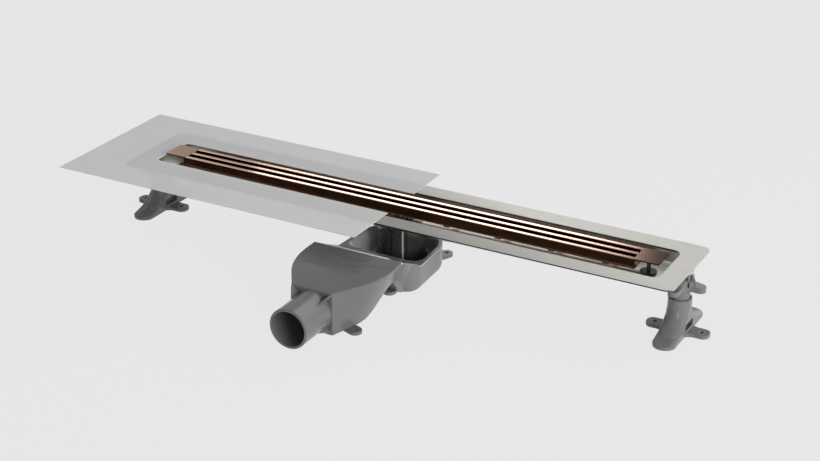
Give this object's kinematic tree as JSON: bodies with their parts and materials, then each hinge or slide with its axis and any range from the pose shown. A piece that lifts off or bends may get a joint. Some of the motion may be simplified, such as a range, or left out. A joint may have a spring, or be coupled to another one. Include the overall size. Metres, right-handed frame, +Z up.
{
  "type": "linear shower drain",
  "caption": "Linear shower drain: folded steel channel with slotted grate, bonded sealing sheet, adjustable feet and a low side-outlet water trap on a telescopic sleeve.",
  "frame": {"origin": "on the drain axis, on the floor that the trap bowl and the feet stand on", "axes": "+X along the channel to the right, +Y to the back, away from the outlet spigot, +Z up"},
  "size_m": [0.8553, 0.3676, 0.0866],
  "materials": {
    "tray_steel": "fine brushed stainless sheet",
    "strainer_steel": "punched stainless sheet",
    "grate_metal": "brushed, warm copper tone",
    "trap_plastic": "satin grey moulding",
    "foot_plastic": "satin grey moulding",
    "smoked_plastic": "smoked clear moulding",
    "seal_rubber": "matt black",
    "membrane": "pale grey fleece-faced sheet",
    "screw_black": "blackened"
  },
  "bodies": {
    "channel": {"channel_tray": "tray_steel", "outlet_collar": "tray_steel", "sealing_membrane": "membrane", "mounting_lug_left": "tray_steel", "mounting_lug_right": "tray_steel", "foot_bracket_left": "foot_plastic", "foot_bracket_right": "foot_plastic", "hair_strainer": "strainer_steel"},
    "grate": {"grate_slat_front": "grate_metal", "grate_slat_middle": "grate_metal", "grate_slat_rear": "grate_metal", "grate_crossbars": "grate_metal", "grate_end_plate_left": "grate_metal", "grate_end_plate_right": "grate_metal", "levelling_boss_left": "grate_metal", "levelling_boss_right": "grate_metal"},
    "screw_left": {"levelling_screw_left": "screw_black"},
    "screw_right": {"levelling_screw_right": "screw_black"},
    "foot_left": {"foot_base_left": "foot_plastic"},
    "foot_right": {"foot_base_right": "foot_plastic"},
    "trap": {"trap_housing": "trap_plastic", "trap_deck": "trap_plastic", "telescopic_sleeve": "smoked_plastic", "collar_seal": "seal_rubber", "sleeve_seal": "seal_rubber"}
  },
  "joints": [
    {"name": "foot_left_height", "type": "slide", "parent": "channel", "child": "foot_left", "axis": [0, 0, 1], "range_m": [-0.018, 0]},
    {"name": "foot_right_height", "type": "slide", "parent": "channel", "child": "foot_right", "axis": [0, 0, 1], "range_m": [-0.018, 0]},
    {"name": "trap_height", "type": "slide", "parent": "channel", "child": "trap", "axis": [0, 0, 1], "range_m": [-0.02, 0]},
    {"name": "grate_height", "type": "slide", "parent": "channel", "child": "grate", "axis": [0, 0, 1], "range_m": [0, 0.004]},
    {"name": "screw_left_turn", "type": "hinge", "parent": "channel", "child": "screw_left", "pos_m": [-0.3288, 0, 0.066], "axis": [0, 0, 1], "range_deg": [-1800, 0]},
    {"name": "screw_right_turn", "type": "hinge", "parent": "channel", "child": "screw_right", "pos_m": [0.3288, 0, 0.066], "axis": [0, 0, 1], "range_deg": [-1800, 0]}
  ],
  "couplings": [
    {"joint": "screw_left_turn", "follows": "grate_height", "rad_per_m": -7854},
    {"joint": "screw_right_turn", "follows": "grate_height", "rad_per_m": -7854}
  ]
}
